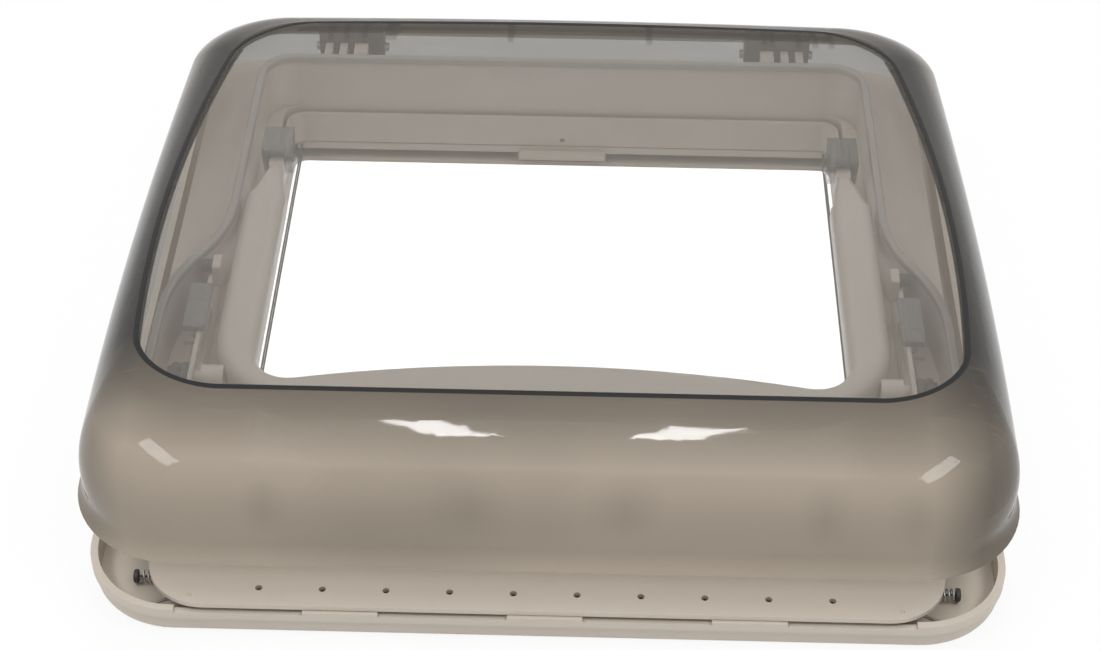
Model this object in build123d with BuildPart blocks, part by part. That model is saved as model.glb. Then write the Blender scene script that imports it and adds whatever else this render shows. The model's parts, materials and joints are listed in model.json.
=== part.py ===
from build123d import *
import math
import os

# Square caravan roof vent: a tinted double-skin dome hinged along its rear edge, an outer frame with
# a roof flange, an interior frame with a pleated blind and a pleated flyscreen, and a U-shaped bow
# that props the dome open. Millimetres, +X right, +Y to the rear, +Z up, origin under the middle.

os.makedirs("parts", exist_ok=True)

# Gaps and cuts shared by all pieces
running_gap = 0.4
pin_gap = 0.05
seat_gap = 0.3
overrun = 3.0

# Light opening and interior frame
light_opening = 372.0
light_corner = 9.0
collar_wall = 2.6
collar_height = 40.0
tray_width = 516.0
tray_depth = 508.0
tray_corner = 52.0
tray_height = 19.0
tray_floor = 2.4
tray_wall = 2.4
tray_edge = 4.5
lip_height = 6.5
lip_proud = 1.8
notch_count = 4
notch_width = 71.0
notch_pitch = 112.5
notch_depth = 2.2
slot_bottom = 3.2
slot_top = 17.0
pilot_radius = 1.8
pilot_rise = 4.5
screw_inset_x = 52.0
screw_inset_y = 49.0
screw_radius = 2.25
screw_head_radius = 4.0
screw_head_depth = 1.4

# Cassette walls and corner boxes inside the interior frame
cassette_overlap = 7.0
cassette_margin = 11.0
cassette_wall = 1.8
cassette_top = 16.4
cover_thickness = 1.6
box_margin_x = 43.0
box_margin_y = 27.0
box_top = 17.2

# Blind and flyscreen
rail_depth = 14.0
rail_height = 5.8
rail_end_gap = 2.0
rail_round = 1.0
blind_level = 7.0
screen_level = 13.2
grip_width = 60.0
grip_reach = 7.0
grip_thickness = 2.2
pleat_count = 30
pleat_room = 4.9
pleat_height = 5.6
pleat_groove = 1.1
pleat_half_width = 177.0
blind_travel = 360.0
cord_radius = 0.6
cord_hole_radius = 1.1
cord_x = 181.0
cord_turn = 9.0
cord_bend = 6.0
wire_sides = 8
coil_radius = 3.2
coil_wire = 0.55
coil_turns = 5
coil_length = 14.0
cord_stop_radius = 3.9
cord_stop_length = 2.4
clip_wire = 0.7
clip_bend = 2.2
clip_foot = 26.0

# Outer frame
roof_opening = 400.0
roof_clearance = 3.5
skirt_wall = 6.0
skirt_corner = 12.0
skirt_drop = 14.0
skirt_side_half = 180.0
flange_width = 444.0
flange_depth = 504.0
flange_thickness = 3.0
flange_corner = 33.0
flange_lift = 0.5
hole_count = 10
hole_pitch = 35.2
hole_inset = 13.0
hole_radius = 2.0
side_hole_count = 4
side_hole_pitch = 96.0
side_hole_inset = 7.5
nib_inset_x = 26.0
nib_inset_y = 6.0
nib_radius = 1.3
nib_height = 2.2
neck_half = 204.0
neck_wall = 2.6
body_floor = 41.0
floor_thickness = 2.6
body_width = 472.0
body_front = 216.0
body_rear = 212.0
body_corner = 30.0
body_wall = 2.6
shelf_top = 66.0
coaming_wall = 2.6
coaming_top = 80.0
coaming_front = 207.0
coaming_corner = 20.0
coaming_rear_half = 200.5
coaming_front_half = 231.0
curve_rear_y = 30.0
curve_front_y = -78.0
rib_thickness = 2.4
rib_x = [8.0, 146.0, 190.0]

# Rubber seal on the coaming
seal_grip = 1.2
seal_hem = 4.0
seal_height = 4.7
seal_round = 1.4

# Motion: the dome's hinge, the bow's rear pivot and its front stub, all seen from the side
hinge_y = 225.0
hinge_z = 70.0
opening_angle = 45.0
pivot_y = 95.0
pivot_z = 68.0
stub_y = -116.0
stub_z = 67.0
bow_share = 0.63

# Hinge pieces
knuckle_radius = 7.0
hinge_pin_radius = 3.0
knuckle_x = [166.0, 156.0, 146.0, 129.0]
knuckle_thickness = [4.0, 4.0, 4.0, 10.0]
hinge_side_gap = 0.4
ear_depth = 20.0
hinge_pin_margin = 3.0
buffer_x = 46.0
buffer_width = 4.0
buffer_depth = 5.0
buffer_height = 26.0

# Dome: wall thickness and the sections that its skin passes through
dome_wall = 3.0
rim_z = 60.0
rim_reach = 257.5
rim_half = 260.5
rim_corner = 62.0
dome_rise = 66.0
dome_bulge = 17.0
seam_width = 3.0
seam_thickness = 1.8
pane_thickness = 2.4
pane_half = 239.0
pane_front = 218.0
pane_rear = 199.0
pane_corner = 34.0

# Bow
bow_half = 198.0
bow_arm = 26.0
bow_height = 22.0
bow_round = 8.0
bow_corner = 60.0
bow_inner_corner = 20.0
bar_rear_middle = -108.0
bar_rear_end = -128.0
bar_front_middle = -141.0
bar_front_end = -150.0
tongue_width = 9.0
tongue_inner = 177.5
tongue_radius = 9.0
tongue_round = 2.5
shoulder_rear = 76.0
shoulder_front = 44.0
stub_boss_radius = 7.5
stub_boss = 5.0
stub_radius = 4.5
stub_end = 223.5
pivot_pin_radius = 2.5
prong_thickness = 4.2
prong_gap = 0.6
prong_radius = 8.5
prong_base = 26.0
bracket_plate = 3.0
pivot_pin_margin = 1.5

# Side guides for the stubs
guide_x = 207.0
guide_thickness = 2.6
guide_front = -130.0
guide_rear = -18.0
guide_bar = 4.0
guide_round = 6.0
guide_foot_depth = 14.0
guide_foot_width = 14.0
foot_thickness = 2.4
foot_places = [-119.0, -54.0]
foot_screw_x = 216.0
slot_clearance = 0.5
notch_angles = [15.0, 30.0, 45.0]
notch_lift = 1.2
path_shares = [0, 0.55, 1]
roller_near = 211.0
roller_width = 9.0
cap_gap = 0.3
cap_radius = 6.5
cap_thickness = 2.4
roller_radius = 8.5
roller_groove = 1.2
latch_near = 205.0
latch_front = -86.0
latch_rear = -46.0
latch_width = 13.0
latch_height = 4.0
latch_teeth = 3
latch_tooth = 1.6
latch_tooth_width = 6.0
latch_slope = 60.0
stop_front = -36.0
stop_depth = 13.0
stop_width = 5.0
stop_height = 16.0
knob_radius = 4.0
knob_width = 7.0
guide_screw_radius = 2.0
guide_screw_head = 3.6
guide_screw_head_height = 1.6
guide_screw_length = 9.0

# Release button in the bow's crossbar
button_width = 46.0
button_depth = 15.0
button_height = 7.0
button_round = 3.0
button_y = -125.0
button_proud = 1.5
button_edge_share = 0.7
pocket_height = 13.5
button_spring_radius = 4.0
button_spring_turns = 4
button_wire = 0.35

# Worked out from the sizes above
light_half = light_opening / 2
collar_half = light_half + collar_wall
screw_x = tray_width / 2 - screw_inset_x
screw_y = tray_depth / 2 - screw_inset_y
cassette_half_width = light_half + cassette_overlap
cassette_reach = tray_depth / 2 - cassette_margin
box_x = tray_width / 2 - box_margin_x
box_y = tray_depth / 2 - box_margin_y
cord_turn_y = box_y - cord_turn
pleat_pack = cassette_reach - cassette_wall - pleat_room - light_half - rail_depth - seat_gap
flange_z = tray_height + flange_lift
hole_y = flange_depth / 2 - hole_inset
side_hole_x = flange_width / 2 - side_hole_inset
nib_x = flange_width / 2 - nib_inset_x
nib_y = flange_depth / 2 - nib_inset_y
flange_top = flange_z + flange_thickness
skirt_half = roof_opening / 2 - roof_clearance
skirt_inner = skirt_half - skirt_wall
skirt_foot = cassette_top + cover_thickness + running_gap
floor_top = body_floor + floor_thickness
pane_z = coaming_top + seal_height + seat_gap
sides = ((-1, "left"), (1, "right"))
ends = ((-1, "front"), (1, "rear"))


def swing(y, z, angle):
    """A side-view offset turned by an angle that lifts its rear end."""
    a = math.radians(angle)
    return (y * math.cos(a) - z * math.sin(a), y * math.sin(a) + z * math.cos(a))


def stub_place(angle):
    """Where the bow's stub lies, seen from the side, when the dome is open by an angle."""
    py, pz = swing(pivot_y - hinge_y, pivot_z - hinge_z, -angle)
    sy, sz = swing(stub_y - pivot_y, stub_z - pivot_z, bow_share * angle)
    return (hinge_y + py + sy, hinge_z + pz + sz)


def save(part, label):
    """Name a finished piece and write it."""
    part.label = label
    export_step(part, f"parts/{label}.step")


def biarc_coil(centre, along, start, radius, turns, length):
    """One unbroken coil about a line, as pairs of tangent arcs over each quarter turn."""
    axis = Vector(*along)
    first = Vector(*start)
    second = axis.cross(first)
    steps = int(4 * turns)
    rise = length / (turns * 2 * math.pi)

    def point(angle):
        return Vector(*centre) + (first * math.cos(angle) + second * math.sin(angle)) * radius + axis * rise * angle

    def heading(angle):
        return ((second * math.cos(angle) - first * math.sin(angle)) * radius + axis * rise).normalized()

    for step in range(steps):
        a0 = step * math.pi / 2
        a1 = a0 + math.pi / 2
        chord = point(a1) - point(a0)
        both = heading(a0) + heading(a1)
        lead = 4 - both.dot(both)
        reach = (-chord.dot(both) + math.sqrt(chord.dot(both) ** 2 + lead * chord.dot(chord))) / lead
        joint = (point(a0) + heading(a0) * reach + point(a1) - heading(a1) * reach) / 2
        near = TangentArc(point(a0), joint, tangent=heading(a0))
        TangentArc(joint, point(a1), tangent=near % 1)


# Interior frame: a shallow tray round the light opening, with a collar that rises into the roof
with BuildPart() as interior_frame:
    with BuildSketch(Plane.XY):
        RectangleRounded(tray_width - 2 * lip_proud, tray_depth - 2 * lip_proud, tray_corner - lip_proud)
    extrude(amount=tray_height)
    fillet(interior_frame.faces().sort_by(Axis.Z)[0].edges(), tray_edge)
    with BuildSketch(Plane.XY.offset(tray_height - lip_height)):
        RectangleRounded(tray_width, tray_depth, tray_corner)
    extrude(amount=lip_height)
    with BuildSketch(Plane.XY.offset(tray_floor)):
        RectangleRounded(
            tray_width - 2 * (lip_proud + tray_wall),
            tray_depth - 2 * (lip_proud + tray_wall),
            tray_corner - lip_proud - tray_wall,
        )
    extrude(amount=tray_height, mode=Mode.SUBTRACT)
    with Locations((0, 0, tray_height)):
        with GridLocations(notch_pitch, tray_depth - tray_wall, notch_count, 2):
            Box(notch_width, tray_wall + 2 * lip_proud + 2 * overrun, 2 * notch_depth, mode=Mode.SUBTRACT)
    with BuildSketch(Plane.XY):
        RectangleRounded(2 * collar_half, 2 * collar_half, light_corner + collar_wall)
    extrude(amount=collar_height)
    with BuildSketch(Plane.XY.offset(tray_floor)):
        with GridLocations(0, 2 * cassette_reach - cassette_wall, 1, 2):
            Rectangle(2 * cassette_half_width, cassette_wall)
        with GridLocations(2 * cassette_half_width - cassette_wall, collar_half + cassette_reach, 2, 2):
            Rectangle(cassette_wall, cassette_reach - collar_half)
    extrude(amount=cassette_top - tray_floor)
    with BuildSketch(Plane.XY.offset(tray_floor)):
        with GridLocations(2 * box_x - cassette_wall, box_y + collar_half, 2, 2):
            Rectangle(cassette_wall, box_y - collar_half)
        with GridLocations(box_x + cassette_half_width, 2 * box_y - cassette_wall, 2, 2):
            Rectangle(box_x - cassette_half_width, cassette_wall)
    extrude(amount=box_top - tray_floor)
    with BuildSketch(Plane.XY):
        RectangleRounded(light_opening, light_opening, light_corner)
    extrude(amount=collar_height, mode=Mode.SUBTRACT)
    with Locations((0, 0, (slot_bottom + slot_top) / 2)):
        with GridLocations(0, light_opening + collar_wall, 1, 2):
            Box(light_opening, collar_wall + 2 * light_corner, slot_top - slot_bottom, mode=Mode.SUBTRACT)
    with Locations(Plane((0, light_half, slot_top + pilot_rise), z_dir=(0, 1, 0))):
        Cylinder(pilot_radius, 2 * (collar_wall + overrun), mode=Mode.SUBTRACT)
    with GridLocations(2 * screw_x, 2 * screw_y, 2, 2):
        Cylinder(screw_radius, 2 * (tray_floor + overrun), mode=Mode.SUBTRACT)
        Cylinder(screw_head_radius, 2 * screw_head_depth, mode=Mode.SUBTRACT)
    for end, end_name in ends:
        level = blind_level if end < 0 else screen_level
        for side, side_name in sides:
            hole = Plane((side * (box_x + cassette_half_width) / 2, end * cord_turn_y, level), z_dir=(1, 0, 0))
            with Locations(hole):
                Cylinder(cord_hole_radius, box_x - cassette_half_width + 2 * overrun, mode=Mode.SUBTRACT)
    for end, end_name in ends:
        level = screen_level if end < 0 else blind_level
        with Locations((0, end * cassette_reach, level)):
            with GridLocations(2 * cord_x, 0, 2, 1):
                Cylinder(cord_hole_radius, 2 * overrun, rotation=(90, 0, 0), mode=Mode.SUBTRACT)
save(interior_frame.part, "interior_frame")

# Lids of the two cassettes
for end, end_name in ends:
    lid_name = "blind_cassette_cover" if end < 0 else "screen_cassette_cover"
    lid_near = skirt_half + running_gap
    with BuildPart() as cassette_cover:
        with BuildSketch(Plane.XY.offset(cassette_top)):
            with Locations((0, end * (lid_near + cassette_reach) / 2)):
                Rectangle(2 * cassette_half_width, cassette_reach - lid_near)
        extrude(amount=cover_thickness)
        corner_edges = cassette_cover.edges().filter_by(Axis.Z)
        fillet(corner_edges, cover_thickness)
    save(cassette_cover.part, lid_name)

# End rails, pleated packs, cords, springs and cord stops of the blind (front) and flyscreen (rear)
coil_start = box_x + seat_gap + coil_wire
coil_end = coil_start + coil_length
for end, end_name in ends:
    name = "blind" if end < 0 else "screen"
    level = blind_level if end < 0 else screen_level
    rail_y = end * (light_half + rail_depth / 2)
    with BuildPart() as rail:
        with Locations((0, rail_y, level)):
            Box(light_opening - 2 * rail_end_gap, rail_depth, rail_height)
        fillet(rail.edges().filter_by(Axis.X), rail_round)
        with Locations((0, end * (light_half - grip_reach / 2), level - (rail_height - grip_thickness) / 2)):
            Box(grip_width, grip_reach + 2 * rail_round, grip_thickness)
        with Locations((0, rail_y, level)):
            with GridLocations(2 * cord_x, 0, 2, 1):
                Cylinder(cord_hole_radius, rail_depth + 2 * overrun, rotation=(90, 0, 0), mode=Mode.SUBTRACT)
    save(rail.part, f"{name}_rail")

    pack_near = light_half + rail_depth + seat_gap
    pitch = pleat_pack / pleat_count
    crests = [(pack_near + step * pitch / 2, pleat_groove * (step % 2)) for step in range(2 * pleat_count + 1)]
    upper = [(end * y, level + pleat_height / 2 - dip) for y, dip in crests]
    lower = [(end * y, level - pleat_height / 2 + dip) for y, dip in reversed(crests)]
    with BuildPart() as pleats:
        with BuildSketch(Plane.YZ):
            Polygon(*upper, *lower, align=None)
        extrude(amount=pleat_half_width, both=True)
    save(pleats.part, f"{name}_pleats")

    with BuildPart() as cords:
        for side, side_name in sides:
            with BuildLine() as route:
                FilletPolyline(
                    (side * cord_x, -end * (cassette_reach - seat_gap), level),
                    (side * cord_x, end * cord_turn_y, level),
                    (side * (coil_end + seat_gap), end * cord_turn_y, level),
                    radius=cord_bend,
                )
            with BuildSketch(Plane(route.line @ 0, z_dir=route.line % 0)):
                RegularPolygon(cord_radius, wire_sides)
            sweep(path=route.line)
    save(cords.part, f"{name}_cords")

    for side, side_name in sides:
        with BuildPart() as cord_stop:
            with Locations(Plane((side * (coil_end + seat_gap), end * cord_turn_y, level), z_dir=(side, 0, 0))):
                Cylinder(cord_stop_radius, cord_stop_length, align=(Align.CENTER, Align.CENTER, Align.MIN))
            fillet(cord_stop.faces().sort_by(Axis.X)[-1 if side > 0 else 0].edges(), cord_stop_length / 3)
        save(cord_stop.part, f"cord_stop_{end_name}_{side_name}")

        with BuildPart() as coil:
            with BuildLine() as turns:
                biarc_coil(
                    (side * coil_start, end * cord_turn_y, level),
                    (side, 0, 0),
                    (0, end, 0),
                    coil_radius,
                    coil_turns,
                    coil_length - 2 * coil_wire,
                )
            with BuildSketch(Plane(turns.line @ 0, z_dir=turns.line % 0)):
                Circle(coil_wire)
            sweep(path=turns.line)
        save(coil.part, f"cord_spring_{end_name}_{side_name}")
        print(f"cord_spring_{end_name}_{side_name}: least gap", coil_length / coil_turns - 2 * coil_wire)

# Bent wire clips at the front corner boxes
clip_outer = box_y + clip_wire + seat_gap
for side, side_name in sides:
    with BuildPart() as wire_clip:
        with BuildLine() as route:
            FilletPolyline(
                (side * screw_x, -(box_y - cassette_wall - clip_wire - seat_gap), cassette_top / 2),
                (side * screw_x, -(box_y - cassette_wall - clip_wire - seat_gap), box_top + clip_wire + seat_gap),
                (side * screw_x, -clip_outer, box_top + clip_wire + seat_gap),
                (side * screw_x, -clip_outer, tray_floor + clip_wire + seat_gap),
                (side * (screw_x + clip_foot), -(clip_outer + clip_foot / 2), tray_floor + clip_wire + seat_gap),
                radius=[clip_bend / 2, clip_bend / 2, clip_bend],
            )
        with BuildSketch(Plane(route.line @ 0, z_dir=route.line % 0)):
            RegularPolygon(clip_wire, wire_sides)
        sweep(path=route.line)
    save(wire_clip.part, f"wire_clip_{side_name}")


def coaming_outline(grow):
    """The outline of the coaming's inner face grown outwards: narrow behind, wide in front."""
    step_x = coaming_front_half - coaming_rear_half
    step_y = curve_rear_y - curve_front_y
    lean = 2 * math.atan2(step_x, step_y)
    mid_x = (coaming_rear_half + coaming_front_half) / 2 + grow * math.cos(lean)
    mid_y = (curve_rear_y + curve_front_y) / 2 + grow * math.sin(lean)
    narrow = coaming_rear_half + grow
    wide = coaming_front_half + grow
    rear = skirt_inner + grow
    front = coaming_front + grow
    corner = coaming_corner + grow
    with BuildLine() as outline:
        Line((0, rear), (narrow - corner, rear))
        RadiusArc((narrow - corner, rear), (narrow, rear - corner), corner)
        Line((narrow, rear - corner), (narrow, curve_rear_y))
        upper = TangentArc((narrow, curve_rear_y), (mid_x, mid_y), tangent=(0, -1))
        TangentArc((mid_x, mid_y), (wide, curve_front_y), tangent=upper % 1)
        Line((wide, curve_front_y), (wide, -front + corner))
        RadiusArc((wide, -front + corner), (wide - corner, -front), corner)
        Line((wide - corner, -front), (0, -front))
        mirror(about=Plane.YZ)
    return outline.edges()


# Outer frame: roof flange, skirt into the cut-out, neck, and a body with its coaming
body_middle = (body_rear - body_front) / 2
ear_places = [
    (knuckle_x[0] + knuckle_x[1]) / 2,
    (knuckle_x[1] + knuckle_x[2]) / 2,
    (knuckle_x[2] - knuckle_thickness[2] / 2 + knuckle_x[3] + knuckle_thickness[3] / 2) / 2,
]
ear_widths = [
    knuckle_x[0] - knuckle_x[1] - (knuckle_thickness[0] + knuckle_thickness[1]) / 2 - 2 * hinge_side_gap,
    knuckle_x[1] - knuckle_x[2] - (knuckle_thickness[1] + knuckle_thickness[2]) / 2 - 2 * hinge_side_gap,
    knuckle_x[2] - knuckle_x[3] - (knuckle_thickness[2] + knuckle_thickness[3]) / 2 - 2 * hinge_side_gap,
]
with BuildPart() as outer_frame:
    with BuildSketch(Plane.XY.offset(flange_z)):
        RectangleRounded(flange_width, flange_depth, flange_corner)
    extrude(amount=flange_thickness)
    with BuildSketch(Plane.XY.offset(body_floor)):
        with Locations((0, body_middle)):
            RectangleRounded(body_width, body_front + body_rear, body_corner)
    extrude(amount=shelf_top - body_floor)
    with BuildSketch(Plane.XY.offset(body_floor)):
        with Locations((0, body_middle)):
            RectangleRounded(body_width - 2 * body_wall, body_front + body_rear - 2 * body_wall, body_corner - body_wall)
    extrude(amount=shelf_top - body_floor - body_wall, mode=Mode.SUBTRACT)
    with BuildSketch(Plane.XY.offset(body_floor)):
        make_face(coaming_outline(coaming_wall))
    extrude(amount=coaming_top - body_floor)
    with BuildSketch(Plane.XY.offset(floor_top)):
        make_face(coaming_outline(0))
    extrude(amount=coaming_top - floor_top, mode=Mode.SUBTRACT)
    with BuildSketch(Plane.XY.offset(flange_z)):
        Rectangle(2 * neck_half, 2 * neck_half)
        Rectangle(2 * (neck_half - neck_wall), 2 * (neck_half - neck_wall), mode=Mode.SUBTRACT)
    extrude(amount=floor_top - flange_z)
    with BuildSketch(Plane.XY.offset(skirt_foot)):
        RectangleRounded(2 * skirt_half, 2 * skirt_half, skirt_corner)
    extrude(amount=floor_top - skirt_foot)
    with BuildSketch(Plane.XY.offset(skirt_foot - skirt_drop + overrun)):
        with GridLocations(skirt_half + skirt_inner, 0, 2, 1):
            Rectangle(skirt_wall, 2 * skirt_side_half)
    extrude(amount=skirt_drop)
    with BuildSketch(Plane.XY):
        RectangleRounded(2 * skirt_inner, 2 * skirt_inner, skirt_corner)
    extrude(amount=floor_top, mode=Mode.SUBTRACT)
    with BuildSketch(Plane.XY.offset(flange_top)):
        with Locations([(side * x, -(neck_half + body_front) / 2) for x in rib_x for side, word in sides]):
            Rectangle(rib_thickness, body_front - neck_half)
    extrude(amount=body_floor - flange_top)
    with Locations((0, 0, flange_z)):
        with GridLocations(hole_pitch, 2 * hole_y, hole_count, 2):
            Cylinder(hole_radius, 2 * (flange_thickness + overrun), mode=Mode.SUBTRACT)
        with GridLocations(2 * side_hole_x, side_hole_pitch, 2, side_hole_count):
            Cylinder(hole_radius, 2 * (flange_thickness + overrun), mode=Mode.SUBTRACT)
    with Locations([(side * foot_screw_x, y, floor_top) for y in foot_places for side, word in sides]):
        Cylinder(guide_screw_radius + pin_gap, 2 * floor_thickness + overrun, mode=Mode.SUBTRACT)
    with Locations((0, 0, flange_top)):
        with GridLocations(2 * nib_x, 2 * nib_y, 2, 2):
            Cone(nib_radius, nib_radius / 4, nib_height, align=(Align.CENTER, Align.CENTER, Align.MIN))
    for side, side_name in sides:
        for place, width in zip(ear_places, ear_widths):
            with BuildSketch(Plane((side * place, hinge_y, hinge_z), x_dir=(0, 1, 0), z_dir=(1, 0, 0))):
                Circle(knuckle_radius)
                Rectangle(ear_depth, 2 * knuckle_radius, align=(Align.MAX, Align.CENTER))
                Circle(hinge_pin_radius + pin_gap, mode=Mode.SUBTRACT)
            extrude(amount=width / 2, both=True)
save(outer_frame.part, "outer_frame")

# Seal: a rubber channel pushed over the coaming, its crown just under the dome's pane
with BuildPart() as dome_seal:
    with BuildSketch(Plane.XY.offset(coaming_top - seal_hem)):
        make_face(coaming_outline(coaming_wall + seal_grip))
    extrude(amount=seal_hem + seal_height)
    with BuildSketch(Plane.XY.offset(coaming_top - seal_hem)):
        make_face(coaming_outline(-seal_grip))
    extrude(amount=seal_hem + seal_height, mode=Mode.SUBTRACT)
    fillet(dome_seal.faces().sort_by(Axis.Z)[-1].edges(), seal_round)
    with BuildSketch(Plane.XY.offset(coaming_top - seal_hem)):
        make_face(coaming_outline(coaming_wall))
    extrude(amount=seal_hem, mode=Mode.SUBTRACT)
    with BuildSketch(Plane.XY.offset(coaming_top - seal_hem)):
        make_face(coaming_outline(-seal_grip))
    extrude(amount=seal_hem, mode=Mode.SUBTRACT)
save(dome_seal.part, "dome_seal")


def dome_outline(half_front, half_rear, depth, bulge, corner):
    """A section of the dome: straight front, bowed sides and rear, rounded corners."""
    with BuildSketch() as outline:
        with BuildLine():
            Line((-half_front, -depth / 2), (half_front, -depth / 2))
            ThreePointArc(
                (half_front, -depth / 2), ((half_front + half_rear) / 2 + bulge, 0), (half_rear, depth / 2)
            )
            ThreePointArc((half_rear, depth / 2), (0, depth / 2 + bulge / 2), (-half_rear, depth / 2))
            ThreePointArc(
                (-half_rear, depth / 2), (-(half_front + half_rear) / 2 - bulge, 0), (-half_front, -depth / 2)
            )
        make_face()
        fillet(outline.vertices(), corner)
    return outline.sketch


def dome_plane(front, rear, front_z, rear_z):
    """The plane of a dome section, tipped so that it falls to the rear."""
    slope = math.atan2(front_z - rear_z, front + rear)
    middle = ((rear - front) / 2, (front_z + rear_z) / 2)
    return Plane((0, *middle), x_dir=(1, 0, 0), z_dir=(0, math.sin(slope), math.cos(slope)))


def dome_section(shares, inset):
    """One section moved inwards by a wall, and near the top downwards by its share of that wall."""
    front_share, rear_share, front_rise_share, rear_rise_share = shares[:4]
    front_half_share, rear_half_share, bulge_share, corner_share, drop_share = shares[4:]
    front = rim_reach * front_share - inset
    rear = rim_reach * rear_share - inset
    front_z = rim_z + dome_rise * front_rise_share - inset * drop_share
    rear_z = rim_z + dome_rise * rear_rise_share - inset * drop_share
    face = dome_outline(
        rim_half * front_half_share - inset,
        rim_half * rear_half_share - inset,
        math.hypot(front + rear, front_z - rear_z),
        dome_bulge * bulge_share,
        rim_corner * corner_share - inset,
    )
    return dome_plane(front, rear, front_z, rear_z) * face


# Front and rear reach, front and rear rise, front and rear half width, side bulge, corner radius,
# and the part of the wall that the inner surface drops by
dome_shares = [
    (1, 0.9942, 0, 0, 1, 0.9731, 0.1765, 1, 0),
    (0.9845, 0.9806, 0.0682, 0.0606, 0.9885, 0.9616, 0.2353, 0.9677, 0),
    (0.9767, 0.9709, 0.1818, 0.1515, 0.9846, 0.9559, 0.2941, 0.9516, 0),
    (0.9592, 0.9398, 0.5152, 0.2879, 0.9789, 0.9443, 0.4118, 0.9355, 0.15),
    (0.9204, 0.901, 0.7424, 0.4091, 0.9539, 0.9117, 0.5294, 0.8871, 0.45),
    (0.835, 0.8621, 0.9167, 0.4924, 0.9175, 0.8676, 0.7059, 0.8226, 0.8),
    (0.7262, 0.8272, 1, 0.5379, 0.8637, 0.8138, 1, 0.7419, 1),
]
crown_share = (0.4272, 0.5437, 1.0379, 0.6515, 0.5374, 0.5182, 0.7059, 0.6452, 1)
seam_share = dome_shares[-1]
rim_rows = 2


def dome_body(inset):
    """Fill the dome's outer skin moved inwards by a wall, in the part being made."""
    loft(sections=[dome_section(shares, inset) for shares in dome_shares[: rim_rows + 1]])
    loft(sections=[dome_section(shares, inset) for shares in dome_shares[rim_rows:]])
    loft(sections=[dome_section(seam_share, inset), dome_section(crown_share, inset)], ruled=True)


# Outer skin of the dome
with BuildPart() as dome_core:
    dome_body(dome_wall)
with BuildPart() as seam_core:
    dome_body(dome_wall + seam_thickness)
with BuildPart() as dome_outer:
    dome_body(0)
    add(dome_core.part, mode=Mode.SUBTRACT)
save(dome_outer.part, "dome_outer")


# Black bonding seam between the two skins
seam_middle = dome_section(seam_share, 0).face()
seam_out = offset(seam_middle, amount=seam_width / 2, mode=Mode.PRIVATE).face()
seam_in = offset(seam_middle, amount=-seam_width / 2, mode=Mode.PRIVATE).face()
with BuildPart() as bond_seam:
    add(dome_core.part)
    add(seam_core.part, mode=Mode.SUBTRACT)
    extrude(seam_out, amount=dome_rise, both=True, mode=Mode.INTERSECT)
    extrude(seam_in, amount=dome_rise, both=True, mode=Mode.SUBTRACT)
save(bond_seam.part, "bond_seam")

# Clear inner pane: a flat floor on the seal and a wall that slopes in to the seam
pane_middle_y = (pane_rear - pane_front) / 2
with BuildPart() as dome_inner:
    with BuildSketch(Plane.XY.offset(pane_z)) as pane_base:
        with Locations((0, pane_middle_y)):
            RectangleRounded(2 * pane_half, pane_front + pane_rear, pane_corner)
    loft(sections=[pane_base.sketch.face(), seam_out], ruled=True)
    with BuildSketch(Plane.XY.offset(pane_z + pane_thickness)) as pane_hollow:
        with Locations((0, pane_middle_y)):
            RectangleRounded(
                2 * (pane_half - pane_thickness),
                pane_front + pane_rear - 2 * pane_thickness,
                pane_corner - pane_thickness,
            )
    loft(sections=[pane_hollow.sketch.face(), seam_in], ruled=True, mode=Mode.SUBTRACT)
    add(seam_core.part, mode=Mode.INTERSECT)
    add(dome_core.part, mode=Mode.INTERSECT)
save(dome_inner.part, "dome_inner")

# Hinge: dome knuckles between the outer frame's ears, on a steel pin at each side
arm_outer = knuckle_x[0] + knuckle_thickness[0] / 2
arm_inner = knuckle_x[-1] - knuckle_thickness[-1] / 2
arm_middle = (arm_outer + arm_inner) / 2
for side, side_name in sides:
    with BuildPart() as hinge_arm:
        for place, thickness in zip(knuckle_x, knuckle_thickness):
            with BuildSketch(Plane((side * place, hinge_y, hinge_z), x_dir=(0, 1, 0), z_dir=(1, 0, 0))):
                Circle(knuckle_radius)
                Rectangle(2 * knuckle_radius, ear_depth + knuckle_radius, align=(Align.CENTER, Align.MIN))
                Circle(hinge_pin_radius + pin_gap, mode=Mode.SUBTRACT)
            extrude(amount=thickness / 2, both=True)
        with Locations((side * arm_middle, hinge_y, hinge_z + knuckle_radius + hinge_side_gap)):
            Box(
                arm_outer - arm_inner,
                2 * knuckle_radius,
                ear_depth,
                align=(Align.CENTER, Align.CENTER, Align.MIN),
            )
        add(dome_core.part, mode=Mode.INTERSECT)
        add(bond_seam.part, mode=Mode.SUBTRACT)
        add(dome_inner.part, mode=Mode.SUBTRACT)
    save(hinge_arm.part, f"hinge_arm_{side_name}")

    with BuildPart() as hinge_pin:
        with Locations(Plane((side * arm_middle, hinge_y, hinge_z), z_dir=(1, 0, 0))):
            Cylinder(hinge_pin_radius, arm_outer - arm_inner + 2 * hinge_pin_margin)
        chamfer(hinge_pin.edges().filter_by(GeomType.CIRCLE), hinge_pin_radius / 5)
    save(hinge_pin.part, f"hinge_pin_{side_name}")

# Rubber buffers on the rear of the outer frame
with BuildPart() as rear_buffers:
    with Locations((0, body_rear, shelf_top - buffer_height)):
        with GridLocations(2 * buffer_x, 0, 2, 1):
            Box(buffer_width, buffer_depth, buffer_height, align=(Align.CENTER, Align.MIN, Align.MIN))
    fillet(rear_buffers.faces().sort_by(Axis.Y)[-2:].edges().filter_by(Axis.Z), buffer_width / 4)
save(rear_buffers.part, "rear_buffers")

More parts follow.
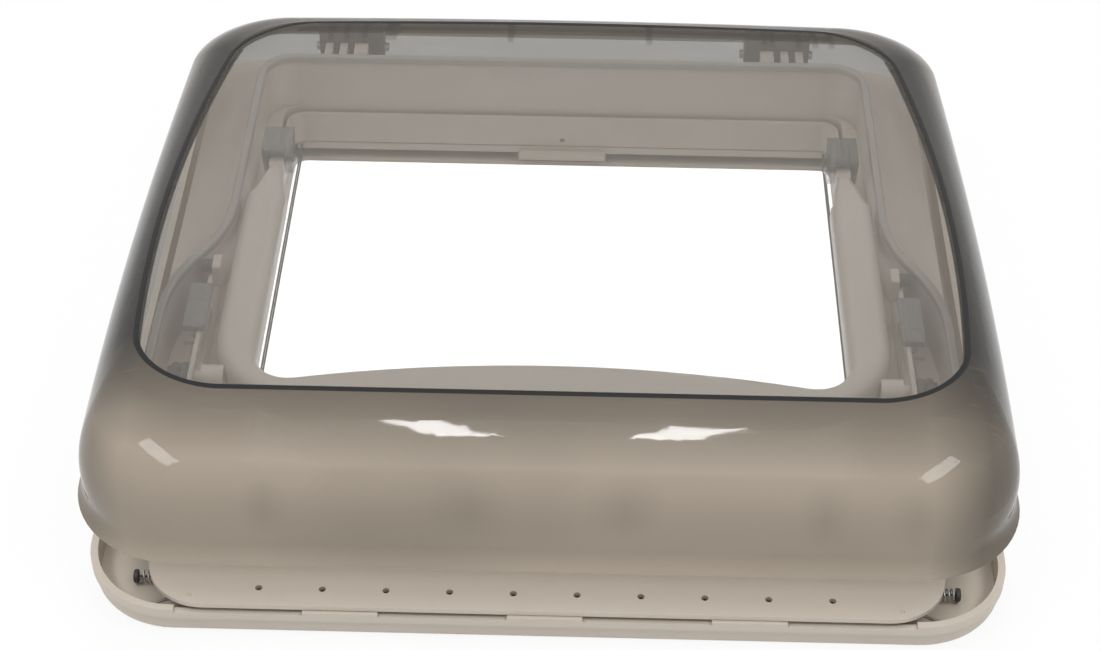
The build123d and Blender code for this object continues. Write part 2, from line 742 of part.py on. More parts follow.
# Clear pivot brackets under the pane, and the pins that carry the bow's tongues
tongue_outer = tongue_inner + tongue_width
bracket_inner = tongue_inner - prong_gap - prong_thickness
bracket_outer = tongue_outer + prong_gap + prong_thickness
for side, side_name in sides:
    with BuildPart() as pivot_bracket:
        for near in (bracket_inner, bracket_outer - prong_thickness):
            place = near if side > 0 else -near - prong_thickness
            with BuildSketch(Plane((place, pivot_y, pivot_z), x_dir=(0, 1, 0), z_dir=(1, 0, 0))) as prong:
                Circle(prong_radius)
                with Locations((0, pane_z - pivot_z)):
                    Rectangle(prong_base, bracket_plate, align=(Align.CENTER, Align.MAX))
                make_hull()
                Circle(pivot_pin_radius + pin_gap, mode=Mode.SUBTRACT)
            extrude(amount=prong_thickness)
        with Locations((side * (bracket_inner + bracket_outer) / 2, pivot_y, pane_z)):
            Box(
                bracket_outer - bracket_inner,
                prong_base,
                bracket_plate,
                align=(Align.CENTER, Align.CENTER, Align.MAX),
            )
    save(pivot_bracket.part, f"pivot_bracket_{side_name}")

    with BuildPart() as pivot_pin:
        with Locations(Plane((side * (bracket_inner + bracket_outer) / 2, pivot_y, pivot_z), z_dir=(1, 0, 0))):
            Cylinder(pivot_pin_radius, bracket_outer - bracket_inner + 2 * pivot_pin_margin)
        chamfer(pivot_pin.edges().filter_by(GeomType.CIRCLE), pivot_pin_radius / 5)
    save(pivot_pin.part, f"pivot_pin_{side_name}")

# Bow: a fat rounded U whose arms narrow into tongues behind, with a stub on each arm in front
bow_inner = bow_half - bow_arm
arm_centre = bow_half - bow_arm / 2
tongue_centre = tongue_inner + tongue_width / 2
bow_floor = pivot_z - bow_height / 2
with BuildPart() as bow:
    with BuildSketch(Plane.XY.offset(bow_floor)) as bow_plan:
        with BuildLine():
            ThreePointArc((-bow_half, bar_front_end), (0, bar_front_middle), (bow_half, bar_front_end))
            Line((bow_half, bar_front_end), (bow_half, shoulder_front))
            Line((bow_half, shoulder_front), (bow_inner, shoulder_front))
            Line((bow_inner, shoulder_front), (bow_inner, bar_rear_end))
            ThreePointArc((bow_inner, bar_rear_end), (0, bar_rear_middle), (-bow_inner, bar_rear_end))
            Line((-bow_inner, bar_rear_end), (-bow_inner, shoulder_front))
            Line((-bow_inner, shoulder_front), (-bow_half, shoulder_front))
            Line((-bow_half, shoulder_front), (-bow_half, bar_front_end))
        make_face()
        corner_points = bow_plan.vertices().sort_by(Axis.Y)
        fillet(corner_points[:2], bow_corner)
        fillet(bow_plan.vertices().filter_by_position(Axis.Y, bar_rear_end - pin_gap, bar_rear_end + pin_gap), bow_inner_corner)
    extrude(amount=bow_height)
    arm_ends = bow.faces().filter_by(Axis.Y).sort_by(Axis.Y)[-2:].edges()
    rims = bow.faces().filter_by(Axis.Z).edges()
    fillet([edge for edge in rims if edge not in arm_ends], bow_round)
    for side, side_name in sides:
        with BuildSketch(Plane((side * arm_centre, shoulder_front, pivot_z), x_dir=(1, 0, 0), z_dir=(0, 1, 0))) as arm_end:
            RectangleRounded(bow_arm, bow_height, bow_round)
        with BuildSketch(Plane((side * tongue_centre, shoulder_rear, pivot_z), x_dir=(1, 0, 0), z_dir=(0, 1, 0))) as neck_end:
            RectangleRounded(tongue_width, 2 * tongue_radius, tongue_round)
        loft(sections=[arm_end.sketch.face(), neck_end.sketch.face()], ruled=True)
        with BuildSketch(Plane((side * tongue_centre, pivot_y, pivot_z), x_dir=(0, 1, 0), z_dir=(1, 0, 0))):
            Circle(tongue_radius)
            Rectangle(pivot_y - shoulder_rear, 2 * tongue_radius, align=(Align.MAX, Align.CENTER))
        tongue = extrude(amount=tongue_width / 2, both=True)
    for side, side_name in sides:
        with Locations(Plane((side * tongue_centre, pivot_y, pivot_z), z_dir=(1, 0, 0))):
            Cylinder(pivot_pin_radius + pin_gap, tongue_width + 2 * prong_gap, mode=Mode.SUBTRACT)
        with Locations(Plane((side * (bow_half - bow_round), stub_y, stub_z), z_dir=(side, 0, 0))):
            Cylinder(stub_boss_radius, bow_round + stub_boss, align=(Align.CENTER, Align.CENTER, Align.MIN))
            Cylinder(stub_radius, stub_end - bow_half + bow_round, align=(Align.CENTER, Align.CENTER, Align.MIN))
    with BuildSketch(Plane.XY.offset(bow_floor)):
        with Locations((0, button_y)):
            RectangleRounded(button_width + 2 * running_gap, button_depth + 2 * running_gap, button_round + running_gap)
    extrude(amount=pocket_height, mode=Mode.SUBTRACT)
save(bow.part, "bow")

# Release button with its spring, in a pocket in the crossbar's underside
button_top = bow_floor - button_proud + button_height
with BuildPart() as release_button:
    with BuildSketch(Plane.XY.offset(bow_floor - button_proud)):
        with Locations((0, button_y)):
            RectangleRounded(button_width, button_depth, button_round)
    extrude(amount=button_height)
    fillet(release_button.faces().sort_by(Axis.Z)[0].edges(), button_proud * button_edge_share)
save(release_button.part, "release_button")

spring_length = bow_floor + pocket_height - button_top - 2 * button_wire
with BuildPart() as button_spring:
    with BuildLine() as turns:
        biarc_coil(
            (0, button_y, button_top + button_wire),
            (0, 0, 1),
            (1, 0, 0),
            button_spring_radius,
            button_spring_turns,
            spring_length,
        )
    with BuildSketch(Plane(turns.line @ 0, z_dir=turns.line % 0)):
        Circle(button_wire)
    sweep(path=turns.line)
save(button_spring.part, "button_spring")
print("button_spring: least gap", spring_length / button_spring_turns - 2 * button_wire)

# Rollers on the stubs and the push-on caps that keep them there
for side, side_name in sides:
    with BuildPart() as roller:
        with BuildSketch(Plane.XZ.offset(-stub_y)) as roller_section:
            with Locations((side * roller_near, stub_z + stub_radius + pin_gap)):
                Rectangle(
                    roller_width,
                    roller_radius - stub_radius - pin_gap,
                    align=(Align.MIN if side > 0 else Align.MAX, Align.MIN),
                )
            with Locations((side * (roller_near + roller_width / 2), stub_z + roller_radius)):
                RegularPolygon(roller_groove, 4, mode=Mode.SUBTRACT)
        revolve(axis=Axis((0, stub_y, stub_z), (1, 0, 0)))
    save(roller.part, f"roller_{side_name}")

    with BuildPart() as stub_cap:
        with Locations(Plane((side * (roller_near + roller_width + cap_gap), stub_y, stub_z), z_dir=(side, 0, 0))):
            Cylinder(cap_radius, cap_thickness, align=(Align.CENTER, Align.CENTER, Align.MIN))
            Cylinder(stub_radius, cap_thickness, align=(Align.CENTER, Align.CENTER, Align.MIN), mode=Mode.SUBTRACT)
    save(stub_cap.part, f"stub_cap_{side_name}")


def stub_offset(angle):
    """Where the stub lies, counted from its place when the dome is closed."""
    y, z = stub_place(angle)
    return (y - stub_y, z - stub_z)


# Side guides: upright plates on the outer frame's floor, slotted along the stub's way
guide_top = stub_z + stub_radius + slot_clearance + guide_bar
slot_width = 2 * (stub_radius + slot_clearance)
for side, side_name in sides:
    near = guide_x if side > 0 else -guide_x - guide_thickness
    with BuildPart() as guide_plate:
        guide_plane = Plane((near, stub_y, stub_z), x_dir=(0, 1, 0), z_dir=(1, 0, 0))
        with BuildSketch(guide_plane) as guide_side:
            with Locations(((guide_front + guide_rear) / 2 - stub_y, (floor_top + guide_top) / 2 - stub_z)):
                Rectangle(guide_rear - guide_front, guide_top - floor_top)
            fillet(guide_side.vertices().group_by(Axis.Z)[-1], guide_round)
            with BuildLine(mode=Mode.PRIVATE) as way:
                ThreePointArc(*[stub_offset(opening_angle * share) for share in path_shares])
            SlotArc(way.edges()[0], slot_width, mode=Mode.SUBTRACT)
            for angle in notch_angles:
                y, z = stub_offset(angle)
                with Locations((y, z + notch_lift)):
                    Circle(slot_width / 2, mode=Mode.SUBTRACT)
        extrude(amount=guide_thickness)
        for foot_y in foot_places:
            foot_x = side * (guide_x + guide_thickness / 2)
            with Locations((foot_x, foot_y, floor_top)):
                Box(
                    guide_foot_width + guide_thickness / 2,
                    guide_foot_depth,
                    foot_thickness,
                    align=(Align.MIN if side > 0 else Align.MAX, Align.CENTER, Align.MIN),
                )
            with Locations((side * foot_screw_x, foot_y, floor_top)):
                Cylinder(guide_screw_radius + pin_gap, 2 * foot_thickness + overrun, mode=Mode.SUBTRACT)
    save(guide_plate.part, f"guide_plate_{side_name}")

    # Clear toothed catch over the roller's way
    latch_y = (latch_front + latch_rear) / 2
    latch_far = latch_near + latch_width
    teeth_near = guide_x + guide_thickness + seat_gap
    with BuildPart() as notch_latch:
        with Locations((side * latch_near, latch_y, guide_top)):
            Box(
                latch_width,
                latch_rear - latch_front,
                latch_height,
                align=(Align.MIN if side > 0 else Align.MAX, Align.CENTER, Align.MIN),
            )
        fillet(notch_latch.edges().filter_by(Axis.Z), latch_height / 2)
        teeth_start = teeth_near if side > 0 else -latch_far
        with BuildSketch(Plane((teeth_start, latch_y, guide_top), x_dir=(0, 1, 0), z_dir=(1, 0, 0))):
            with GridLocations((latch_rear - latch_front) / latch_teeth, 0, latch_teeth, 1):
                Trapezoid(latch_tooth_width, latch_tooth, latch_slope, rotation=180, align=(Align.CENTER, Align.MIN))
        extrude(amount=latch_far - teeth_near)
    save(notch_latch.part, f"notch_latch_{side_name}")

    # Stop block at the rear end of the guide, with its round knob
    with BuildPart() as stop_block:
        with Locations((side * guide_x, (stop_front + stop_front + stop_depth) / 2, guide_top)):
            Box(
                stop_width,
                stop_depth,
                stop_height,
                align=(Align.MAX if side > 0 else Align.MIN, Align.CENTER, Align.CENTER),
            )
        fillet(stop_block.edges().filter_by(Axis.X), stop_width / 4)
    save(stop_block.part, f"stop_block_{side_name}")

    with BuildPart() as stop_knob:
        knob_y = stop_front + stop_depth / 2
        with Locations(Plane((side * guide_x, knob_y, guide_top + knob_radius), z_dir=(side, 0, 0))):
            Cylinder(knob_radius, knob_width, align=(Align.CENTER, Align.CENTER, Align.MIN))
        fillet(stop_knob.faces().sort_by(Axis.X)[-1 if side > 0 else 0].edges(), knob_radius / 5)
    save(stop_knob.part, f"stop_knob_{side_name}")

# Screws that hold the guides to the floor
with BuildPart() as guide_screws:
    for side, side_name in sides:
        for foot_y in foot_places:
            with Locations((side * foot_screw_x, foot_y, floor_top + foot_thickness)):
                Cylinder(guide_screw_head, guide_screw_head_height, align=(Align.CENTER, Align.CENTER, Align.MIN))
                Cylinder(
                    guide_screw_radius,
                    guide_screw_length,
                    align=(Align.CENTER, Align.CENTER, Align.MAX),
                )
save(guide_screws.part, "guide_screws")
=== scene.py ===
"""Looks of a square caravan roof vent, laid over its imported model."""

import json
import math

import bmesh
import bpy
from bpy.props import FloatProperty, FloatVectorProperty, IntProperty, PointerProperty
from bpy.types import Operator, Panel, PropertyGroup
from mathutils import Matrix, Vector


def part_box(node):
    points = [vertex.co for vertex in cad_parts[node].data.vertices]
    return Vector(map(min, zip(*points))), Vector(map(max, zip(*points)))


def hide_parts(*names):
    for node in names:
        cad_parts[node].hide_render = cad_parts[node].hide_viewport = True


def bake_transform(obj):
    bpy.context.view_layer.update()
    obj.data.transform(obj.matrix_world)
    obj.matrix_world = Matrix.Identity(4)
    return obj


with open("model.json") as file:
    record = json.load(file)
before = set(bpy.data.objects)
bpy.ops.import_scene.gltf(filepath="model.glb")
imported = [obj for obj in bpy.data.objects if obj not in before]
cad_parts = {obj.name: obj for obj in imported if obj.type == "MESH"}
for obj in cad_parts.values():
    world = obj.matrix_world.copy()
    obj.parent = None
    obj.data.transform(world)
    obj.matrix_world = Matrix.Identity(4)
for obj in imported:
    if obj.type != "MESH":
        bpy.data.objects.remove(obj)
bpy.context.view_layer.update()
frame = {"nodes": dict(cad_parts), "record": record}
slots = {row["node"]: row["material_slot"] for row in frame["record"]["subparts"]}

bl_info = {
    "name": "Roof vent finishes",
    "version": (1, 0, 0),
    "blender": (4, 5, 0),
    "location": "View3D > Sidebar > Roof vent",
    "description": "Finishes, soft pieces and stage of a square roof vent",
    "category": "Object",
}

MM = 0.001
BLACK = (0.008, 0.008, 0.008)
WHITE = (1, 1, 1)
SEEN_RAYS = ("Camera", "Glossy", "Transmission")
SOFT_RAYS = ("Shadow", "Diffuse")

# Where painted shade marks the hollows and ribs behind the front wall, each with its half width
SHADE_SPOT_PLACES = ((-0.150, 0.014), (-0.040, 0.024), (0.042, 0.022), (0.148, 0.014), (0.196, 0.016))

# Where the moulded ribs of the rear wall stand
RIB_PLACES = (
    -0.158, -0.147, -0.135, -0.119, -0.115, -0.036, 0.058, 0.136, 0.141, 0.159, 0.170, 0.181,
)

# How much of its cover the smoked skin drops for shadow and bounced light
SOFT_SHARE = 0.70

# The floor's white share, and its brightness behind glazing in the light opening and beside it
FLOOR_SHARE = 0.90
OPENING_HALF = 0.190
OPENING_FADE = 0.005
OPENING_GLOW = 2.4
GLAZED_GLOW = 0.38

# How bright the surroundings are to all but the seen rays
SKY_GLOW = 0.44

# Lamps: name, place, aim, width, height and power in watts
LAMPS = (
    ("key_left", (-0.85, -0.55, 1.55), (0, 0, 0.05), 0.95, 0.30, 8.5),
    ("key_right", (0.85, -0.55, 1.55), (0, 0, 0.05), 0.95, 0.30, 8.5),
    ("rear_fill", (0.0, 1.4, 1.3), (0, 0, 0.05), 1.4, 0.6, 8.0),
    ("front_fill", (0.0, -1.7, 0.45), (0, -0.2, 0.03), 1.8, 0.5, 1.2),
    ("top_fill", (0.0, 0.1, 2.0), (0, 0, 0), 1.2, 1.2, 8.0),
    ("window_left", (-0.18, 0.30, 2.0), (-0.06, -0.2, 0.12), 0.085, 0.34, 3.2),
    ("window_right", (0.155, 0.30, 2.0), (0.06, -0.2, 0.12), 0.085, 0.34, 3.2),
)

# Camera: focal length and picture width in pixels, sensor, aim and distance in mm, angles in degrees
FOCAL = 2300.0
PICTURE_WIDTH = 1100
SENSOR = 36.0
CAMERA_AIM = (-2.39, -54.74, 60.0)
CAMERA_DISTANCE = 1384.0
CAMERA_RISE = 40.69
CAMERA_YAW = -1.2
CAMERA_ROLL = 0.45


# Sizes and colours that a user would change


class VentColours(PropertyGroup):
    """Colours of the vent's finishes."""

    frame_beige: FloatVectorProperty(
        name="Frame", description="Moulded frame plastic",
        subtype="COLOR", default=(0.60, 0.535, 0.46), min=0, max=1,
    )
    bow_beige: FloatVectorProperty(
        name="Bow", description="Bow plastic",
        subtype="COLOR", default=(0.60, 0.545, 0.48), min=0, max=1,
    )
    smoke: FloatVectorProperty(
        name="Smoke", description="Tint of the outer skin",
        subtype="COLOR", default=(0.125, 0.112, 0.095), min=0, max=1,
    )
    wall: FloatVectorProperty(
        name="Wall", description="Dark side walls of the outer skin",
        subtype="COLOR", default=(0.021, 0.018, 0.015), min=0, max=1,
    )
    # Pale tone of the front wall; the mask that lays it on also paints shade under the seam and toward
    # the corners
    milk: FloatVectorProperty(
        name="Milk", description="Pale bloom low on the front wall",
        subtype="COLOR", default=(0.340, 0.290, 0.232), min=0, max=1,
    )
    haze: FloatVectorProperty(
        name="Haze", description="Clear inner pane",
        subtype="COLOR", default=(0.72, 0.71, 0.68), min=0, max=1,
    )
    fabric: FloatVectorProperty(
        name="Blind", description="Pleated blind fabric",
        subtype="COLOR", default=(0.74, 0.72, 0.67), min=0, max=1,
    )


class VentSizes(PropertyGroup):
    """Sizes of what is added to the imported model."""

    wall_cover: FloatProperty(
        name="Wall tint", description="How much the skin outside the seam hides",
        default=0.90, min=0, max=1, subtype="FACTOR",
    )
    crown_cover: FloatProperty(
        name="Crown tint", description="How much the skin inside the seam hides",
        default=0.30, min=0, max=1, subtype="FACTOR",
    )
    pane_cover: FloatProperty(
        name="Pane haze", description="How much the inner pane hides",
        default=0.07, min=0, max=1, subtype="FACTOR",
    )
    seam_middle: FloatProperty(
        name="Seam height", description="Height of the seam half way back",
        default=0.11174, min=0, max=1, subtype="DISTANCE", unit="LENGTH",
    )
    seam_slope: FloatProperty(
        name="Seam slope", description="How far the seam falls for each unit that it goes back",
        default=0.07625, min=0, max=1,
    )
    seam_back: FloatProperty(
        name="Seam centre", description="How far back the seam's centre lies",
        default=0.013, min=-1, max=1, subtype="DISTANCE", unit="LENGTH",
    )
    seam_reach: FloatProperty(
        name="Seam reach", description="Half the seam's length",
        default=0.200, min=0.01, max=1, subtype="DISTANCE", unit="LENGTH",
    )
    seam_half: FloatProperty(
        name="Seam half width", description="Half the seam's width at its middle",
        default=0.2355, min=0.01, max=1, subtype="DISTANCE", unit="LENGTH",
    )
    seam_bulge: FloatProperty(
        name="Seam bulge", description="How far the seam's sides bow out",
        default=0.017, min=0, max=1, subtype="DISTANCE", unit="LENGTH",
    )
    seam_taper: FloatProperty(
        name="Seam taper", description="How far each side draws in to the rear",
        default=0.0065, min=0, max=1, subtype="DISTANCE", unit="LENGTH",
    )
    seam_corner: FloatProperty(
        name="Seam corner", description="Radius of the seam's corners",
        default=0.046, min=0.001, max=1, subtype="DISTANCE", unit="LENGTH",
    )
    pleat_legs: IntProperty(
        name="Pleat legs", description="Straight pieces of cloth between folds",
        default=96, min=8, max=400,
    )
    fold_gap: FloatProperty(
        name="Fold gap", description="Room above and below the folds",
        default=0.0003, min=0, max=0.005, subtype="DISTANCE", unit="LENGTH",
    )


# Shader maths


class Wire:
    """A socket or a number that takes part in sums."""

    def __init__(self, tree, value):
        self.tree = tree
        self.value = value

    def maths(self, operation, *values, clamp=False):
        node = self.tree.nodes.new("ShaderNodeMath")
        node.operation = operation
        node.use_clamp = clamp
        for slot, value in zip(node.inputs, (self, *values)):
            join(self.tree, slot, value)
        return Wire(self.tree, node.outputs[0])

    def __add__(self, other):
        return self.maths("ADD", other)

    def __radd__(self, other):
        return self.maths("ADD", other)

    def __sub__(self, other):
        return self.maths("SUBTRACT", other)

    def __rsub__(self, other):
        return Wire(self.tree, other).maths("SUBTRACT", self)

    def __mul__(self, other):
        return self.maths("MULTIPLY", other)

    def __rmul__(self, other):
        return self.maths("MULTIPLY", other)

    def __truediv__(self, other):
        return self.maths("DIVIDE", other)

    def __pow__(self, other):
        return self.maths("POWER", other)

    def __abs__(self):
        return self.maths("ABSOLUTE")

    def ramp(self, low, high, start=0.0, end=1.0):
        """Start below low, end above high, and even in between."""
        node = self.tree.nodes.new("ShaderNodeMapRange")
        names = ("Value", "From Min", "From Max", "To Min", "To Max")
        for name, value in zip(names, (self, low, high, start, end)):
            join(self.tree, node.inputs[name], value)
        return Wire(self.tree, node.outputs[0])


def join(tree, slot, value):
    """Feeds a socket from a wire, or sets it to a number or colour."""
    if isinstance(value, Wire) and hasattr(value.value, "node"):
        tree.links.new(value.value, slot)
        return
    if isinstance(value, Wire):
        value = value.value
    if slot.type == "RGBA" and len(value) == 3:
        value = (*value, 1)
    slot.default_value = value


def rays(tree, kinds):
    """One for the rays of these kinds, and nought for all others."""
    path = tree.nodes.new("ShaderNodeLightPath")
    found, *others = (Wire(tree, path.outputs[f"Is {kind} Ray"]) for kind in kinds)
    for other in others:
        found = found.maths("MAXIMUM", other)
    return found


class Finish:
    """One material and the nodes that it is built from."""

    def __init__(self, name):
        self.material = bpy.data.materials.new(name)
        self.material.use_nodes = True
        self.tree = self.material.node_tree
        self.shader = self.tree.nodes["Principled BSDF"]

    def node(self, kind, settings=None, output=0, **sockets):
        """Any node: its settings first, then its sockets, and one output."""
        node = self.tree.nodes.new(kind)
        for name, value in (settings or {}).items():
            setattr(node, name, value)
        for name, value in sockets.items():
            join(self.tree, node.inputs[name.replace("_", " ")], value)
        return Wire(self.tree, node.outputs[output])

    def place(self, stretch=(1, 1, 1)):
        """Object coordinates, stretched."""
        spot = self.node("ShaderNodeTexCoord", output="Object")
        return self.node("ShaderNodeMapping", Vector=spot, Scale=stretch)

    def noise(self, scale, detail, rough, stretch=(1, 1, 1)):
        """Noise over object coordinates."""
        return self.node(
            "ShaderNodeTexNoise", Vector=self.place(stretch), Scale=scale, Detail=detail, Roughness=rough
        )

    def blend(self, factor, first, second):
        """Mix of two colours."""
        node = self.tree.nodes.new("ShaderNodeMix")
        node.data_type = "RGBA"
        join(self.tree, node.inputs["Factor"], factor)
        join(self.tree, node.inputs[6], first)
        join(self.tree, node.inputs[7], second)
        return Wire(self.tree, node.outputs[2])

    def split(self, spot):
        """The three numbers of a place."""
        parts = self.tree.nodes.new("ShaderNodeSeparateXYZ")
        join(self.tree, parts.inputs[0], spot)
        return [Wire(self.tree, parts.outputs[k]) for k in range(3)]

    def axes(self):
        """Object coordinates, one by one."""
        return self.split(self.node("ShaderNodeTexCoord", output="Object"))

    def bump(self, height, distance, strength=1.0):
        return self.node("ShaderNodeBump", Height=height, Distance=distance, Strength=strength)

    def wear(self, **sockets):
        """Sets the shader's sockets."""
        for name, value in sockets.items():
            join(self.tree, self.shader.inputs[name.replace("_", " ")], value)
        return self.material


def shade(colour, factor):
    """A colour made darker or lighter."""
    return tuple(min(1, c * factor) for c in colour)


def moulded(name, colour, roughness=0.42, grain=0.000012):
    """Injection-moulded plastic: fine grain, faint flow marks and a little dust."""
    finish = Finish(name)
    flow = finish.noise(9.0, 3.0, 0.6)
    fine = finish.noise(2600.0, 2.0, 0.6)
    dust = finish.noise(60.0, 5.0, 0.65)
    mottle = 0.05
    cloud = finish.blend(flow, shade(colour, 1 - mottle), shade(colour, 1 + mottle))
    tone = finish.blend(dust.ramp(0.58, 0.80, 0, 0.22), cloud, shade(colour, 0.80))
    return finish.wear(
        Base_Color=tone,
        Roughness=roughness + 0.10 * flow + 0.08 * dust.ramp(0.5, 0.8),
        Normal=finish.bump(fine + 0.4 * dust, grain),
        IOR=1.5,
    )


def seam_drop(finish, sizes):
    """How far a point lies below the plane of the dome's seam."""
    _, y, z = finish.axes()
    return (sizes.seam_middle - y * sizes.seam_slope) - z


def seam_edge(finish, sizes):
    """How far a point lies outside the seam's outline, seen from above."""
    x, y, _ = finish.axes()
    along = y - sizes.seam_back
    share = along / sizes.seam_reach
    half = sizes.seam_half - share * share * sizes.seam_bulge - share * sizes.seam_taper
    bow = share.ramp(0.9, 1.1) * (1 - x * x / sizes.seam_half**2) * sizes.seam_bulge / 2
    across = abs(x) - half + sizes.seam_corner
    length = abs(along) - bow - sizes.seam_reach + sizes.seam_corner
    out_across = across.maths("MAXIMUM", 0.0)
    out_length = length.maths("MAXIMUM", 0.0)
    corner = (out_across * out_across + out_length * out_length) ** 0.5
    return corner + across.maths("MAXIMUM", length).maths("MINIMUM", 0.0) - sizes.seam_corner


def smoked(name, colours, sizes):
    """Smoked acrylic: thin crown, dense walls, milky low in front with painted shade under the seam,
    toward the side corners and over the hollows behind the front wall, black along the seam.
    """
    finish = Finish(name)
    haze = finish.noise(14.0, 4.0, 0.55)
    wipe = finish.noise(40.0, 3.0, 0.5, stretch=(1, 9, 3))
    cloud = finish.noise(7.0, 2.0, 0.5)
    ripple = finish.noise(5.0, 1.0, 0.4)
    x, y, z = finish.axes()
    drop = seam_drop(finish, sizes)
    edge = seam_edge(finish, sizes)

    # A black line runs along the seam, where the crown meets the walls
    wall = edge.ramp(-0.0002, 0.0006)
    line = abs(edge - 0.0008).ramp(0.0015, 0.0019, 1, 0) * drop.ramp(0.0018, 0.0024, 1, 0)

    # The bloom is strongest low in front, and weak at the rear and along the foot; painted shade makes
    # it darker close under the seam and toward the side corners, most on the right
    front = y.ramp(-0.200, -0.140, 1, 0) * drop.ramp(0.003, 0.017, 0.42, 1.0)
    front = front * x.ramp(0.205, 0.238, 1, 0.35) * x.ramp(-0.246, -0.225, 0.7, 1)
    back = y.ramp(0.185, 0.210, 0, 0.15)
    foot = z.ramp(0.086, 0.093, 0.42, 0)
    milk_and_painted_shade = front.maths("MAXIMUM", back).maths("MAXIMUM", foot) * cloud.ramp(0.3, 0.7, 0.88, 1.06)

    # Painted shade over the hollows and ribs behind the front wall, then the ribs of the rear wall
    painted_shade_spots = 0.0
    for place, width in SHADE_SPOT_PLACES:
        painted_shade_spots = abs(x - place).ramp(0, width, 1, 0) + painted_shade_spots
    painted_shade_spots = painted_shade_spots * z.ramp(0.076, 0.092) * z.ramp(0.100, 0.112, 1, 0) * y.ramp(-0.205, -0.195, 1, 0)
    milk_and_painted_shade = milk_and_painted_shade * (1 - 0.13 * painted_shade_spots)
    ribs = 0.0
    for place in RIB_PLACES:
        ribs = abs(x - place).ramp(0.0016, 0.0024, 1, 0) + ribs
    ribs = ribs * y.ramp(0.196, 0.200)

    walls = finish.blend(milk_and_painted_shade, colours.wall, colours.milk)
    skin = finish.blend(wall, colours.smoke, walls)
    wiped = finish.blend(wipe.ramp(0.62, 0.78, 0, 0.12), skin, shade(colours.milk, 0.9))
    ribbed = finish.blend(0.55 * ribs, wiped, colours.wall)
    cover = sizes.crown_cover + (sizes.wall_cover - sizes.crown_cover) * wall + 0.05 * (haze - 0.5)
    shown = (cover + 0.2 * ribs).maths("MAXIMUM", line, clamp=True)
    return finish.wear(
        Base_Color=finish.blend(line, ribbed, BLACK),
        Roughness=0.035 + 0.04 * wipe.ramp(0.5, 0.8) + 0.5 * line,
        Alpha=shown * (1 - SOFT_SHARE * rays(finish.tree, SOFT_RAYS)),
        Normal=finish.bump(ripple, 0.00003, 0.5),
        IOR=1.49,
        Specular_IOR_Level=0.24,
    )


def bonded(name, sizes):
    """Black bond that shows as a thin line along the dome's seam."""
    finish = Finish(name)
    edge = seam_edge(finish, sizes)
    speck = finish.noise(900.0, 2.0, 0.6)
    return finish.wear(
        Base_Color=finish.blend(speck, (0.006, 0.006, 0.006), (0.016, 0.015, 0.014)),
        Roughness=0.35 + 0.1 * speck,
        Alpha=abs(edge).ramp(0.0008, 0.0013, 1, 0.05),
        Normal=finish.bump(speck, 0.00002),
    )


def clear(name, colour, cover, roughness=0.06):
    """Clear acrylic with a little haze and moulding ripple."""
    finish = Finish(name)
    haze = finish.noise(22.0, 4.0, 0.6)
    ripple = finish.noise(12.0, 1.0, 0.4)
    return finish.wear(
        Base_Color=finish.blend(haze, shade(colour, 0.9), colour),
        Roughness=roughness + 0.04 * haze,
        Alpha=cover + 0.05 * (haze - 0.5),
        Normal=finish.bump(ripple, 0.0006, 0.5),
        IOR=1.49,
    )


def rubber(name, colour, roughness):
    """Dull rubber with pores and a little bloom."""
    finish = Finish(name)
    pores = finish.noise(1400.0, 3.0, 0.6)
    bloom = finish.noise(50.0, 4.0, 0.6)
    return finish.wear(
        Base_Color=finish.blend(bloom.ramp(0.45, 0.8, 0, 0.5), colour, shade(colour, 1.3)),
        Roughness=roughness + 0.12 * bloom,
        Normal=finish.bump(pores, 0.00004),
    )


def steel(name, colour=(0.60, 0.60, 0.59), roughness=0.28):
    """Drawn or turned steel with fine lines and slight staining."""
    finish = Finish(name)
    lines = finish.noise(900.0, 3.0, 0.6)
    stain = finish.noise(70.0, 4.0, 0.6)
    return finish.wear(
        Base_Color=finish.blend(stain.ramp(0.5, 0.8, 0, 0.5), colour, shade(colour, 0.62)),
        Metallic=1.0,
        Roughness=roughness + 0.14 * lines,
        Normal=finish.bump(lines, 0.00001),
    )


def woven(name, colour, pitch, gaps=False):
    """Thin woven cloth on the piece's own coordinates, closed or with a mesh's gaps."""
    finish = Finish(name)
    across, along, _ = finish.split(finish.node("ShaderNodeUVMap", {"uv_map": "cloth"}))
    turn = 2 * math.pi / pitch
    warp = abs((across * turn).maths("SINE"))
    weft = abs((along * turn).maths("SINE"))
    threads = warp.maths("MAXIMUM", weft)
    slub = finish.noise(300.0, 4.0, 0.6)
    fill = {"Alpha": threads.ramp(0.80, 0.92)} if gaps else {}
    return finish.wear(
        Base_Color=finish.blend(slub, shade(colour, 0.86), colour),
        Roughness=0.85,
        Normal=finish.bump(threads + 0.4 * slub, 0.00008),
        **fill,
    )


def dress(finishes):
    """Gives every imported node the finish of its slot."""
    for node, piece in frame["nodes"].items():
        piece.data.materials.clear()
        piece.data.materials.append(finishes[slots[node]])


# Meshes


def finished(mesh_name, bm, material):
    """Turns a bmesh into an object at the origin with one finish."""
    bmesh.ops.recalc_face_normals(bm, faces=bm.faces)
    mesh = bpy.data.meshes.new(mesh_name)
    bm.to_mesh(mesh)
    bm.free()
    mesh.materials.append(material)
    piece = bpy.data.objects.new(mesh_name, mesh)
    bpy.context.scene.collection.objects.link(piece)
    return piece


